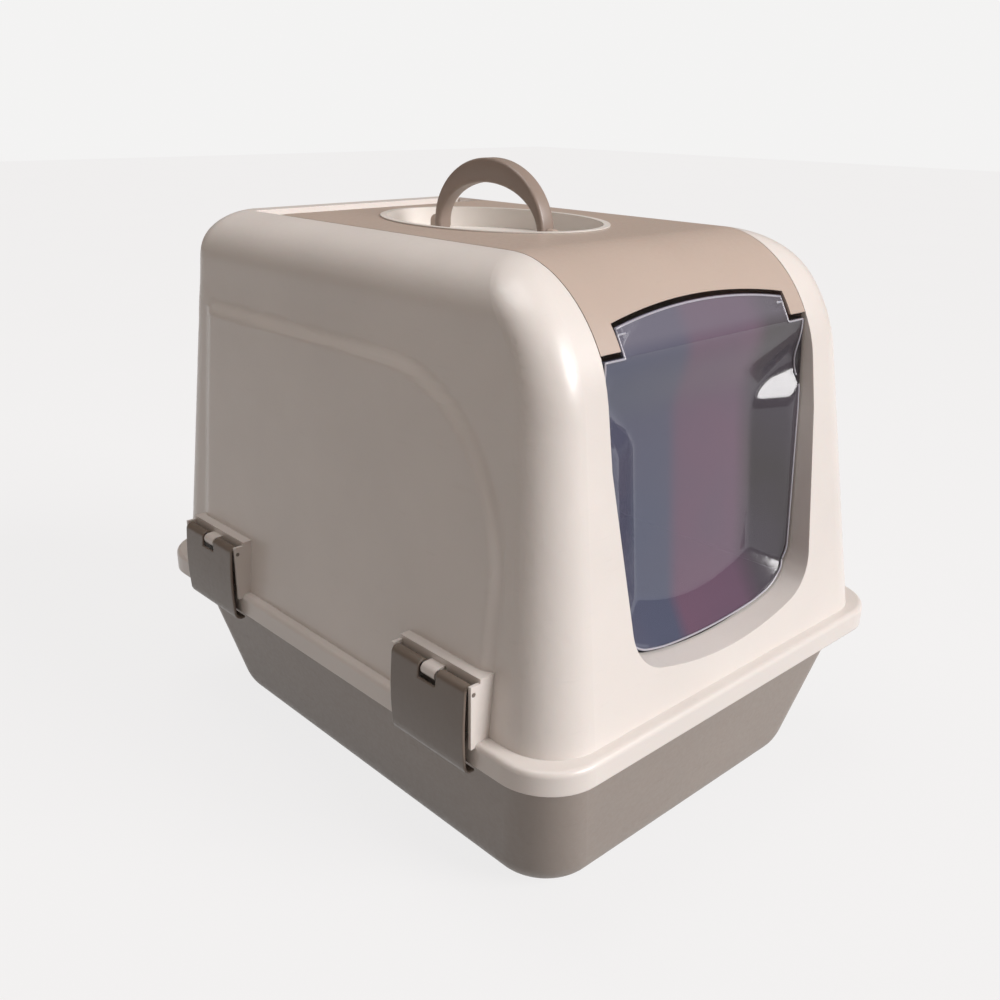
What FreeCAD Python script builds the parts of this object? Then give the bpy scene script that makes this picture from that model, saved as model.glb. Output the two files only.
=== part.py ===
import FreeCAD, Part
import math
import os
import Sketcher

# Hooded cat litter box. Millimetres, +Z up, front towards -Y.
# Origin: middle of the tray's flat underside, so the floor is the plane z = 0.

doc = FreeCAD.newDocument("litter_box")
sheet = doc.addObject("Spreadsheet::Sheet", "sizes")

SIZES = [
    # tray
    ("trayRimHalf", 196.6, "half width of the tray rim"),
    ("trayRimHalfLen", 250.6, "half length of the tray rim"),
    ("trayRimRad", 39.6, "corner radius of the tray rim"),
    ("trayRimTop", 140.6, "height of the rim's upper face"),
    ("trayRimThick", 2.6, "thickness of the rim plate"),
    ("trayLipBottom", 127.5, "height of the lower edge of the rim's down-turned lip"),
    ("trayLipWall", 2.4, "thickness of the down-turned lip"),
    ("trayTopHalf", 188.0, "half width of the basin under the rim"),
    ("trayTopHalfLen", 241.5, "half length of the basin under the rim"),
    ("trayTopRad", 36.0, "corner radius of the basin under the rim"),
    ("trayFootHalf", 155.0, "half width of the basin at the floor, before rounding"),
    ("trayFootHalfLen", 210.0, "half length of the basin at the floor, before rounding"),
    ("trayFootRad", 44.0, "corner radius of the basin at the floor"),
    ("trayBottomRound", 22.0, "rounding between floor and walls"),
    ("trayWall", 2.4, "wall thickness of the tray"),
    # hood shell
    ("hoodFootZ", 141.0, "height of the hood's seating face on the tray rim"),
    ("hoodTopZ", 443.0, "height of the hood's top"),
    ("hoodFootHalf", 188.0, "half width of the hood wall at its foot"),
    ("hoodTopHalf", 156.0, "half width of the hood wall carried up to the top"),
    ("hoodFootFront", 244.6, "distance from the middle to the front wall at its foot"),
    ("hoodTopFront", 199.6, "distance to the front wall carried up to the top"),
    ("hoodFootBack", 246.0, "distance to the back wall at its foot"),
    ("hoodTopBack", 221.0, "distance to the back wall carried up to the top"),
    ("hoodFootRad", 40.0, "corner radius of the hood at its foot"),
    ("hoodTopRad", 26.0, "corner radius of the hood carried up to the top"),
    ("hoodShoulder", 86.0, "height of the rounding between the front wall and the top"),
    ("sideShoulder", 30.0, "height of the rounding between the other walls and the top"),
    ("shoulderSide", 50.5, "reach of that rounding at the sides"),
    ("shoulderFront", 77.0, "reach of that rounding at the front"),
    ("shoulderBack", 14.5, "reach of that rounding at the back"),
    ("shoulderRad", 21.0, "how much the corner radius shrinks over the rounding"),
    ("hoodWall", 2.5, "wall thickness of the hood"),
    ("seatDepth", 4.9, "depth of the underside of the lid seat below the skin"),
    # hood flange
    ("flangeHalf", 200.0, "half width over the skirt"),
    ("flangeHalfLen", 254.0, "half length over the skirt"),
    ("flangeRad", 43.0, "corner radius of the skirt"),
    ("flangeTopZ", 144.0, "height of the ledge"),
    ("skirtBottomZ", 127.0, "height of the skirt's lower edge"),
    ("skirtWall", 2.4, "thickness of the skirt"),
    ("flangeRound", 4.0, "rounding of the ledge's outer edge"),
    # lid band in the hood's top and front
    ("lidHalf", 112.7, "half width of the lid"),
    ("lidGap", 0.6, "gap around the lid"),
    ("lidBackY", 150.0, "distance from the middle to the lid's back edge"),
    ("lidTabZ", 388.0, "height of the lower edge of the lid's two front tabs"),
    ("lidTabInner", 94.0, "distance from the middle to the inner edge of a tab"),
    ("lidArchSideZ", 404.0, "height of the arched edge beside the tabs"),
    ("lidArchMidZ", 411.8, "height of the arched edge in the middle"),
    ("lidWall", 2.2, "wall thickness of the lid"),
    ("seatInner", 105.6, "distance from the middle to the inner edge of the lid seat"),
    ("seatOuter", 119.0, "distance to the seat's outer edge under the skin"),
    # pocket behind the lid
    ("pocketHalf", 113.3, "half width of the pocket behind the lid"),
    ("pocketBackY", 190.0, "distance to the back wall of the pocket"),
    ("pocketFloorZ", 430.0, "height of the pocket's floor"),
    ("pocketWall", 2.6, "thickness of the pocket's floor and walls"),
    ("lipHalf", 97.0, "half width of the lip under the lid's back edge"),
    # lid hinge
    ("hingeY", 156.2, "lid hinge axis, distance behind the middle"),
    ("hingeZ", 434.6, "lid hinge axis, height"),
    ("hingeX", 82.0, "distance from the middle to each lid hinge"),
    ("hingeArm", 12.0, "width of a lid hinge arm"),
    ("hingeEar", 3.6, "width of one ear beside the arm"),
    ("hingePinRad", 1.7, "radius of a lid hinge pin"),
    ("hingeKnuckle", 3.9, "outer radius of a hinge knuckle"),
    # doorway
    ("nearSillZ", 165.4, "outer edge of the doorway: height of the sill in the middle"),
    ("nearEndX", 76.0, "outer edge: distance from the middle to the end of the sill's arc"),
    ("nearEndZ", 175.5, "outer edge: height of the ends of the sill's arc"),
    ("nearCornerRad", 37.0, "outer edge: radius of the lower corners"),
    ("nearSideX", 104.5, "outer edge: half width at the top of the lower corners"),
    ("nearSideZ", 207.0, "outer edge: height of the top of the lower corners"),
    ("nearHalf", 115.0, "outer edge: largest half width"),
    ("nearHighHalf", 114.2, "outer edge: half width at the lid tabs"),
    ("farSillZ", 168.6, "inner edge of the doorway: height of the sill in the middle"),
    ("farEndX", 70.0, "inner edge: distance from the middle to the end of the sill's arc"),
    ("farEndZ", 176.3, "inner edge: height of the ends of the sill's arc"),
    ("farCornerRad", 41.0, "inner edge: radius of the lower corners"),
    ("farSideX", 102.0, "inner edge: half width at the top of the lower corners"),
    ("farSideZ", 213.0, "inner edge: height of the top of the lower corners"),
    ("farHalf", 110.0, "inner edge: largest half width"),
    ("farHighHalf", 112.2, "inner edge: half width at the lid tabs"),
    ("doorwayShoulderZ", 318.0, "height of the doorway's largest half width"),
    ("doorwayOut", 1.0, "how far the cutting form starts outside the wall"),
    ("doorwayIn", 8.3, "depth of the frame behind the wall at the lid tabs"),
    ("frameWall", 3.0, "thickness of the frame around the doorway"),
    # swing door
    ("doorAxisY", -190.6, "door hinge axis, from the middle"),
    ("doorAxisZ", 395.5, "door hinge axis, height"),
    ("doorGap", 1.8, "gap between the door's edge and the inner edge of the doorway"),
    ("doorNeckHalf", 91.6, "half width of the door's upper strip"),
    ("doorTopSideZ", 400.4, "height of the upper strip at its ends"),
    ("doorTopMidZ", 409.0, "height of the upper strip in the middle"),
    ("doorFace", 11.4, "distance from the hinge axis to the door's front face at the shoulders"),
    ("doorStripLean", 28.0, "backward lean of the upper strip, degrees"),
    ("doorShoulderZ", 384.0, "height of the door's shoulders"),
    ("doorThick", 2.2, "thickness of the door"),
    ("doorTilt", 4.9, "lean of the door, degrees from upright"),
    ("doorPinRad", 2.4, "radius of a door pin"),
    ("doorPinInner", 84.0, "distance from the middle to the inner end of a door pin"),
    ("doorPinOuter", 104.0, "distance from the middle to the outer end of a door pin"),
    ("runGap", 0.06, "running clearance of a pin in its bore, on the radius"),
    # oval recess, filter cover and filter
    ("ovalHalfY", 103.0, "half length of the oval hole in the lid"),
    ("ovalHalfX", 74.0, "half width of the oval hole in the lid"),
    ("bowlFloorZ", 423.0, "height of the underside of the lid's oval bowl"),
    ("bowlWall", 2.4, "thickness of the lid's oval bowl"),
    ("ventHalfY", 52.0, "half length of the vent hole in the bowl floor"),
    ("ventHalfX", 36.0, "half width of the vent hole in the bowl floor"),
    ("coverWall", 2.0, "thickness of the filter cover"),
    ("coverRim", 3.0, "width of the cover's rim on the lid"),
    ("coverRimHeight", 1.0, "height of the cover's rim above the lid"),
    ("slotWide", 4.0, "width of a vent slot"),
    ("slotStep", 9.0, "distance between vent slots"),
    ("filterHalfY", 56.0, "half length of the carbon filter"),
    ("filterHalfX", 40.0, "half width of the carbon filter"),
    ("filterThick", 8.0, "thickness of the carbon filter"),
    ("basketWall", 2.0, "wall thickness of the filter basket"),
    # carrying handle
    ("handleY", 19.0, "middle of the handle and of the oval recess, behind the middle of the box"),
    ("handleAxisZ", 436.5, "handle hinge axis, height"),
    ("handleHalf", 64.0, "half length of the handle"),
    ("handleTopZ", 490.0, "height of the handle's top"),
    ("handleLeg", 7.0, "thickness of a handle leg"),
    ("handleGrip", 18.5, "thickness of the grip at its middle"),
    ("handleWide", 14.0, "width of the handle"),
    ("handlePinRad", 2.2, "radius of a handle pin"),
    ("handlePinLen", 13.0, "length of a handle pin"),
    ("lugGap", 1.0, "gap between a handle leg and its lug"),
    ("lugThick", 6.0, "thickness of a handle lug"),
    ("lugHalf", 5.0, "half width of a handle lug"),
    ("lugClear", 0.6, "gap round a lug in the cover's window"),
    ("handleFootRad", 7.6, "radius of the round foot of each handle leg"),
    ("coverGap", 0.4, "gap between the cover's bowl and the oval recess"),
    ("basketGap", 0.3, "gap round the filter in the basket"),
    ("doorBossRad", 4.6, "radius of the lid's bosses that carry the door pins"),
    ("doorBossLong", 9.4, "length of a door boss"),
    ("armHalf", 3.2, "half height of a lid hinge arm"),
    # side clips
    ("clipAxisX", 201.0, "clip hinge axis, distance from the middle"),
    ("clipAxisZ", 181.0, "clip hinge axis, height"),
    ("clipLong", 76.0, "length of a clip along the side"),
    ("clipFrontY", -146.0, "middle of a front clip"),
    ("clipRearY", 146.0, "middle of a rear clip"),
    ("clipBarrel", 5.0, "outer radius of the clip's rolled top"),
    ("clipPlate", 2.6, "thickness of the clip's plate"),
    ("clipBottomZ", 120.6, "height of the clip's lower edge"),
    ("clipToeX", 197.3, "distance from the middle to the tip of the clip's toe"),
    ("clipNotch", 15.0, "length of the notch in the rolled top"),
    ("clipPinRad", 1.6, "radius of a clip pin"),
    ("bossFaceX", 195.4, "distance from the middle to the face of a clip boss"),
    ("bossTopZ", 190.0, "height of the top of a clip boss"),
    ("cheekThick", 2.6, "thickness of the cheeks beside a clip"),
    ("cheekX", 203.4, "distance from the middle to the outer edge of a cheek"),
    ("cheekGap", 0.5, "gap between a clip's end and its cheek"),
]
for row, (alias, value, words) in enumerate(SIZES, start=1):
    sheet.set("A%d" % row, alias)
    sheet.set("B%d" % row, repr(value))
    sheet.set("C%d" % row, words)
    sheet.setAlias("B%d" % row, alias)
doc.recompute()


def size(alias):
    """The number held by one cell of the sheet."""
    return float(getattr(sheet, alias))


def value_of(expression):
    """The number that an expression of sheet cells gives: cells, numbers, + - * / and brackets."""
    return float(sheet.evalExpression(expression.replace("sizes.", "")))


def bind(thing, prop, expression):
    """Ties one property to sheet cells."""
    thing.setExpression(prop, expression)


def new_body(name):
    return doc.addObject("PartDesign::Body", name)


def plane_of(body, role):
    for feature in body.Origin.OriginFeatures:
        if feature.Role == role:
            return feature
    raise ValueError(role)


def new_sketch(body, name, role, offset=None):
    """A sketch on one of the body's own planes; offset is an expression along the plane's normal."""
    sketch = body.newObject("Sketcher::SketchObject", name)
    sketch.AttachmentSupport = (plane_of(body, role), [""])
    sketch.MapMode = "FlatFace"
    if offset is not None:
        bind(sketch, "AttachmentOffset.Base.z", offset)
    return sketch


def named(sketch, name, *what):
    """Adds a driving constraint with a name and ties it to the sheet; the last item is the expression."""
    expression = what[-1]
    index = sketch.addConstraint(Sketcher.Constraint(*what[:-1], max(value_of(expression), 0.0001)))
    sketch.renameConstraint(index, name)
    bind(sketch, "Constraints." + name, expression)


def rounded_rectangle(sketch, tag, half, front, back, radius):
    """A rectangle with four equal round corners, all sizes as expressions; front and back are distances."""
    w, f, b, r = value_of(half), value_of(front), value_of(back), value_of(radius)
    ring = sketch.GeometryCount
    vec = FreeCAD.Vector
    up = vec(0, 0, 1)
    sketch.addGeometry([
        Part.LineSegment(vec(-w + r, -f, 0), vec(w - r, -f, 0)),
        Part.LineSegment(vec(w, -f + r, 0), vec(w, b - r, 0)),
        Part.LineSegment(vec(w - r, b, 0), vec(-w + r, b, 0)),
        Part.LineSegment(vec(-w, b - r, 0), vec(-w, -f + r, 0)),
        Part.ArcOfCircle(Part.Circle(vec(w - r, -f + r, 0), up, r), -math.pi / 2, 0),
        Part.ArcOfCircle(Part.Circle(vec(w - r, b - r, 0), up, r), 0, math.pi / 2),
        Part.ArcOfCircle(Part.Circle(vec(-w + r, b - r, 0), up, r), math.pi / 2, math.pi),
        Part.ArcOfCircle(Part.Circle(vec(-w + r, -f + r, 0), up, r), math.pi, 1.5 * math.pi),
    ], False)
    for k in range(4):
        line, arc, following = ring + k, ring + 4 + k, ring + (k + 1) % 4
        sketch.addConstraint(Sketcher.Constraint("Tangent", line, 2, arc, 1))
        sketch.addConstraint(Sketcher.Constraint("Tangent", arc, 2, following, 1))
    for k, kind in enumerate(("Horizontal", "Vertical", "Horizontal", "Vertical")):
        sketch.addConstraint(Sketcher.Constraint(kind, ring + k))
    for k in range(1, 4):
        sketch.addConstraint(Sketcher.Constraint("Equal", ring + 4, ring + 4 + k))
    named(sketch, tag + "Radius", "Radius", ring + 4, radius)
    named(sketch, tag + "Right", "DistanceX", -1, 1, ring + 1, 1, half)
    named(sketch, tag + "Left", "DistanceX", ring + 3, 1, -1, 1, half)
    named(sketch, tag + "Front", "DistanceY", ring, 1, -1, 1, front)
    named(sketch, tag + "Back", "DistanceY", -1, 1, ring + 2, 1, back)


def loft(body, name, sketches, ruled, remove=False):
    kind = "PartDesign::SubtractiveLoft" if remove else "PartDesign::AdditiveLoft"
    feature = body.newObject(kind, name)
    feature.Profile = sketches[0]
    feature.Sections = sketches[1:]
    feature.Ruled = ruled
    doc.recompute()
    return feature


def levels(body, name, rows):
    """One rounded-rectangle sketch for each row: height, half width, front, back and corner radius."""
    sketches = []
    for index, (height, half, front, back, radius) in enumerate(rows):
        sketch = new_sketch(body, "%s_%d" % (name, index), "XY_Plane", height)
        rounded_rectangle(sketch, "ring", half, front, back, radius)
        sketches.append(sketch)
    doc.recompute()
    return sketches


def pad(body, name, sketch, length, **options):
    feature = body.newObject("PartDesign::Pad", name)
    feature.Profile = sketch
    bind(feature, "Length", length)
    for key, value in options.items():
        setattr(feature, key, value)
    doc.recompute()
    return feature


def edges_at(shape, test):
    """Names of the edges whose middle point passes the test."""
    found = []
    for index, edge in enumerate(shape.Edges, start=1):
        first, last = edge.ParameterRange
        if test(edge.valueAt((first + last) / 2)):
            found.append("Edge%d" % index)
    return found


def round_edges(body, name, base, edges, radius):
    feature = body.newObject("PartDesign::Fillet", name)
    feature.Base = (base, edges)
    bind(feature, "Radius", radius)
    doc.recompute()
    return feature


def box(name, low, high):
    """A block between two corners; each corner is three expressions."""
    thing = doc.addObject("Part::Box", name)
    for prop, first, last in zip(("Length", "Width", "Height"), low, high):
        bind(thing, prop, "(%s) - (%s)" % (last, first))
    for prop, first in zip(("x", "y", "z"), low):
        bind(thing, "Placement.Base." + prop, first)
    return thing


AXIS_TURN = {
    "x": FreeCAD.Rotation(FreeCAD.Vector(0, 1, 0), 90),
    "y": FreeCAD.Rotation(FreeCAD.Vector(1, 0, 0), -90),
    "z": FreeCAD.Rotation(),
}


def rod(name, axis, radius, length, start):
    """A round rod from the start point, three expressions, along +x, +y or +z."""
    thing = doc.addObject("Part::Cylinder", name)
    thing.Placement = FreeCAD.Placement(FreeCAD.Vector(), AXIS_TURN[axis])
    bind(thing, "Radius", radius)
    bind(thing, "Height", length)
    for prop, first in zip(("x", "y", "z"), start):
        bind(thing, "Placement.Base." + prop, first)
    return thing


def fuse(name, things):
    thing = doc.addObject("Part::MultiFuse", name)
    thing.Shapes = things
    return thing


def cut(name, base, tool):
    thing = doc.addObject("Part::Cut", name)
    thing.Base = base
    thing.Tool = tool
    return thing


def common(name, things):
    thing = doc.addObject("Part::MultiCommon", name)
    thing.Shapes = things
    return thing


def mirror_x(name, source):
    """The source mirrored to the other side of the plane x = 0."""
    thing = doc.addObject("Part::Mirroring", name)
    thing.Source = source
    thing.Base = FreeCAD.Vector(0, 0, 0)
    thing.Normal = FreeCAD.Vector(1, 0, 0)
    return thing


def both_sides(name, things):
    """The things and their mirror images, as one list."""
    result = []
    for index, thing in enumerate(things):
        result.append(thing)
        result.append(mirror_x("%s_other_%d" % (name, index), thing))
    return result


nodes = []


def node(thing, label):
    thing.Label = label
    nodes.append(thing)
    return thing


# ---------------------------------------------------------------- tray

TURNS = (0, 18, 36, 54, 72, 90)


def between(foot, top, low, high, height):
    """Straight interpolation of a size between two heights; every argument is an expression."""
    return "((%s) + ((%s) - (%s)) * ((%s) - (%s)) / ((%s) - (%s)))" % (foot, top, foot, height, low, high, low)


def basin_rows(inset, floor, top):
    """Levels of the tray's basin, drawn in by the inset, from its floor to the top expression."""
    reach = "(sizes.trayBottomRound - (%s))" % inset

    def row(height, shrink):
        at = ["(%s) - (%s)" % (between("sizes.trayFoot" + part, "sizes.trayTop" + part, "0", "sizes.trayRimTop",
                                       height), shrink) for part in ("Half", "HalfLen", "HalfLen", "Rad")]
        return (height, at[0], at[1], at[2], at[3])

    rows = []
    for turn in reversed(TURNS):
        height = "(%s) + %s * (1 - sin(%d))" % (floor, reach, turn)
        rows.append(row(height, "(%s) + %s * (1 - cos(%d))" % (inset, reach, turn)))
    start = "(%s) + %s" % (floor, reach)
    rows.append(row(start + " + 8", inset))
    rows.append(row(top, inset))
    return rows


tray = new_body("tray_body")
outside = levels(tray, "basin_level", basin_rows("0", "0", "sizes.trayRimTop"))
basin_base = loft(tray, "basin_base", outside[:-1], False)
basin = loft(tray, "basin", outside[-2:], True)

rim = new_sketch(tray, "rim", "XY_Plane", "sizes.trayRimTop - sizes.trayRimThick")
rounded_rectangle(rim, "rim", "sizes.trayRimHalf", "sizes.trayRimHalfLen",
                  "sizes.trayRimHalfLen", "sizes.trayRimRad")
doc.recompute()
rim_plate = pad(tray, "rim_plate", rim, "sizes.trayRimThick")
lip = new_sketch(tray, "lip", "XY_Plane", "sizes.trayLipBottom")
rounded_rectangle(lip, "lipOuter", "sizes.trayRimHalf", "sizes.trayRimHalfLen",
                  "sizes.trayRimHalfLen", "sizes.trayRimRad")
rounded_rectangle(lip, "lipInner", "sizes.trayRimHalf - sizes.trayLipWall",
                  "sizes.trayRimHalfLen - sizes.trayLipWall",
                  "sizes.trayRimHalfLen - sizes.trayLipWall", "sizes.trayRimRad - sizes.trayLipWall")
doc.recompute()
lip_pad = pad(tray, "lip_pad", lip, "sizes.trayRimTop - sizes.trayLipBottom - 1")

inside = levels(tray, "hollow_level",
                basin_rows("sizes.trayWall", "sizes.trayWall", "sizes.trayRimTop + 1"))
hollow_base = loft(tray, "hollow_base", inside[:-1], False, remove=True)
hollow = loft(tray, "hollow", inside[-2:], True, remove=True)
tray.Tip = hollow
node(tray, "tray")

# ---------------------------------------------------------------- hood form


HOOD_TURNS = (0, 14, 28, 42, 56, 70, 80, 90)


def hood_form(name, inset):
    """The hood's closed form, drawn in by the inset: drafted walls with a round shoulder and top."""
    body = new_body(name)
    rise = "(sizes.hoodShoulder - (%s))" % inset
    middle = "(sizes.hoodTopZ - sizes.hoodShoulder)"
    sides = (("Half", "sizes.shoulderSide"), ("Front", "sizes.shoulderFront"),
             ("Back", "sizes.shoulderBack"), ("Rad", "sizes.shoulderRad"))

    def row(height, turn):
        front_share = "(1 - cos(%d))" % turn
        up = "(1 - %s / (sizes.sideShoulder - (%s)) * (1 - sin(%d)))" % (rise, inset, turn)
        other_share = "(1 - sqrt(1 - %s ^ 2))" % up if value_of(up) > 0 else "0"
        at = [height]
        for part, reach in sides:
            wall = between("sizes.hoodFoot" + part, "sizes.hoodTop" + part, "sizes.hoodFootZ", "sizes.hoodTopZ",
                           height)
            share = front_share if part == "Front" else other_share
            at.append("%s - (%s) - (%s - (%s)) * %s" % (wall, inset, reach, inset, share))
        return tuple(at)

    rows = [row("sizes.hoodFootZ", 0), row(middle + " - 14", 0)]
    for turn in HOOD_TURNS:
        rows.append(row("%s + %s * sin(%d)" % (middle, rise, turn), turn))
    rings = levels(body, name + "_level", rows)
    loft(body, name + "_wall", rings[:2], True)
    body.Tip = loft(body, name + "_dome", rings[1:], False)
    doc.recompute()
    return body


outer_form = hood_form("hood_outer", "0")
inner_form = hood_form("hood_inner", "sizes.hoodWall")
seat_form = hood_form("seat_inner", "sizes.seatDepth")
lid_form = hood_form("lid_inner", "sizes.lidWall")


def outline(sketch, tag, corners, rounds):
    """A closed outline through the corners, anticlockwise; rounds gives the radius of the edges that are arcs."""
    count = len(corners)
    points = [FreeCAD.Vector(value_of(x), value_of(y), 0) for x, y in corners]
    start = sketch.GeometryCount
    ends = []
    for k in range(count):
        first, last = points[k], points[(k + 1) % count]
        if k not in rounds:
            sketch.addGeometry(Part.LineSegment(first, last), False)
            ends.append((1, 2))
            continue
        radius = value_of(rounds[k])
        chord = last - first
        middle = (first + last) * 0.5
        inward = FreeCAD.Vector(-chord.y, chord.x, 0).normalize()
        away = math.sqrt(max(radius * radius - chord.Length * chord.Length / 4, 0.0))
        hub = middle + inward * (away if radius > 0 else -away)
        begin = math.atan2(first.y - hub.y, first.x - hub.x)
        finish = math.atan2(last.y - hub.y, last.x - hub.x)
        circle = Part.Circle(hub, FreeCAD.Vector(0, 0, 1), abs(radius))
        if radius > 0:
            sketch.addGeometry(Part.ArcOfCircle(circle, begin, finish), False)
            ends.append((1, 2))
        else:
            sketch.addGeometry(Part.ArcOfCircle(circle, finish, begin), False)
            ends.append((2, 1))
    for k in range(count):
        following = (k + 1) % count
        sketch.addConstraint(Sketcher.Constraint("Coincident", start + k, ends[k][1],
                                                 start + following, ends[following][0]))
    for k, (x, y) in enumerate(corners):
        for axis, expression in (("X", x), ("Y", y)):
            name = "%s%s%d" % (tag, axis, k)
            if value_of(expression) >= 0:
                named(sketch, name, "Distance" + axis, -1, 1, start + k, ends[k][0], expression)
            else:
                named(sketch, name, "Distance" + axis, start + k, ends[k][0], -1, 1, "-(%s)" % expression)
    for k, expression in rounds.items():
        named(sketch, "%sRound%d" % (tag, k), "Radius", start + k,
              expression if value_of(expression) > 0 else "-(%s)" % expression)


def oval(name, half_x, half_y, low, high):
    """An upright oval block around the middle of the recess, between two heights."""
    ring = doc.addObject("Part::Ellipse", name + "_ring")
    ring.Placement = FreeCAD.Placement(FreeCAD.Vector(), FreeCAD.Rotation(FreeCAD.Vector(0, 0, 1), 90))
    bind(ring, "MajorRadius", half_y)
    bind(ring, "MinorRadius", half_x)
    bind(ring, "Placement.Base.y", "sizes.handleY")
    bind(ring, "Placement.Base.z", low)
    block = doc.addObject("Part::Extrusion", name)
    block.Base = ring
    block.DirMode = "Custom"
    block.Dir = FreeCAD.Vector(0, 0, 1)
    block.Solid = True
    bind(block, "LengthFwd", "(%s) - (%s)" % (high, low))
    return block


# ---------------------------------------------------------------- hood

flange = new_body("flange")
plate_ring = new_sketch(flange, "plate_ring", "XY_Plane", "sizes.hoodFootZ")
rounded_rectangle(plate_ring, "outer", "sizes.flangeHalf", "sizes.flangeHalfLen",
                  "sizes.flangeHalfLen", "sizes.flangeRad")
rounded_rectangle(plate_ring, "inner", "sizes.hoodFootHalf - sizes.hoodWall / 2",
                  "sizes.hoodFootFront - sizes.hoodWall / 2", "sizes.hoodFootBack - sizes.hoodWall / 2",
                  "sizes.hoodFootRad - sizes.hoodWall / 2")
doc.recompute()
plate_pad = pad(flange, "plate_pad", plate_ring, "sizes.flangeTopZ - sizes.hoodFootZ")
skirt_ring = new_sketch(flange, "skirt_ring", "XY_Plane", "sizes.skirtBottomZ")
rounded_rectangle(skirt_ring, "outer", "sizes.flangeHalf", "sizes.flangeHalfLen",
                  "sizes.flangeHalfLen", "sizes.flangeRad")
rounded_rectangle(skirt_ring, "inner", "sizes.flangeHalf - sizes.skirtWall",
                  "sizes.flangeHalfLen - sizes.skirtWall", "sizes.flangeHalfLen - sizes.skirtWall",
                  "sizes.flangeRad - sizes.skirtWall")
doc.recompute()
skirt_pad = pad(flange, "skirt_pad", skirt_ring, "sizes.flangeTopZ - sizes.skirtBottomZ - 1")
ledge_z = size("flangeTopZ")


def on_ledge_rim(point):
    along = abs(point.x) / size("flangeHalf")
    across = abs(point.y) / size("flangeHalfLen")
    return abs(point.z - ledge_z) < 0.01 and (max(along, across) > 0.97 or along + across > 1.85)


flange_round = round_edges(flange, "flange_round", skirt_pad, edges_at(skirt_pad.Shape, on_ledge_rim),
                           "sizes.flangeRound")
flange.Tip = flange_round

FRONT_AT_TABS = between("sizes.hoodFootFront", "sizes.hoodTopFront", "sizes.hoodFootZ", "sizes.hoodTopZ",
                        "sizes.lidTabZ")
WALL_LEAN = "atan((sizes.hoodFootFront - sizes.hoodTopFront) / (sizes.hoodTopZ - sizes.hoodFootZ))"


def doorway_outline(sketch, edge, grow, upright, top):
    """One edge of the doorway, larger all round by grow; upright turns a height into the sketch's own."""
    at = {part: "sizes.%s%s" % (edge, part) for part in ("SillZ", "EndX", "EndZ", "CornerRad", "SideX", "SideZ",
                                                         "Half", "HighHalf")}
    sag = "(%s - %s)" % (at["EndZ"], at["SillZ"])
    sill_radius = "(%s ^ 2 + %s ^ 2) / (2 * %s)" % (sag, at["EndX"], sag)
    corner_radius = "%s + (%s)" % (at["CornerRad"], grow)
    end_z = upright("%s - (%s)" % (at["EndZ"], grow))
    side, side_z = "(%s + (%s))" % (at["SideX"], grow), upright(at["SideZ"])
    half, half_z = "(%s + (%s))" % (at["Half"], grow), upright("sizes.doorwayShoulderZ")
    high = "(%s + (%s))" % (at["HighHalf"], grow)
    outline(sketch, "edge", [
        ("-" + at["EndX"], end_z), (at["EndX"], end_z), (side, side_z), (half, half_z), (high, top),
        ("-" + high, top), ("-" + half, half_z), ("-" + side, side_z),
    ], {0: sill_radius, 1: corner_radius, 7: corner_radius})


def doorway_form(name, grow, back):
    """The doorway's funnel from outside the front wall to behind the door, larger all round by grow."""
    body = new_body(name)
    ends = (
        ("near", WALL_LEAN, "%s + sizes.doorwayOut" % FRONT_AT_TABS),
        ("far", "sizes.doorTilt", "%s - sizes.doorwayIn - (%s)" % (FRONT_AT_TABS, back)),
    )
    sketches = []
    for end, lean, out in ends:
        sketch = new_sketch(body, "%s_%s" % (name, end), "XZ_Plane")
        sketch.AttachmentOffset = FreeCAD.Placement(
            FreeCAD.Vector(), FreeCAD.Rotation(FreeCAD.Vector(1, 0, 0), -value_of(lean)))
        bind(sketch, "AttachmentOffset.Base.y", "sizes.lidTabZ")
        bind(sketch, "AttachmentOffset.Base.z", out)

        def upright(height, lean=lean):
            return "((%s - sizes.lidTabZ) / cos(%s))" % (height, lean)

        doorway_outline(sketch, end, grow, upright, "(1 + (%s))" % grow)
        sketches.append(sketch)
    doc.recompute()
    body.Tip = loft(body, name + "_funnel", sketches, True)
    doc.recompute()
    return body


doorway_cut = doorway_form("doorway_cut", "0", "1.5")
doorway_block = doorway_form("doorway_block", "sizes.frameWall", "0")
doorway_frame = common("doorway_frame", [doorway_block, outer_form])

BOSS_LONG = "(sizes.clipLong / 2 + sizes.cheekGap + sizes.cheekThick)"


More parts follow.
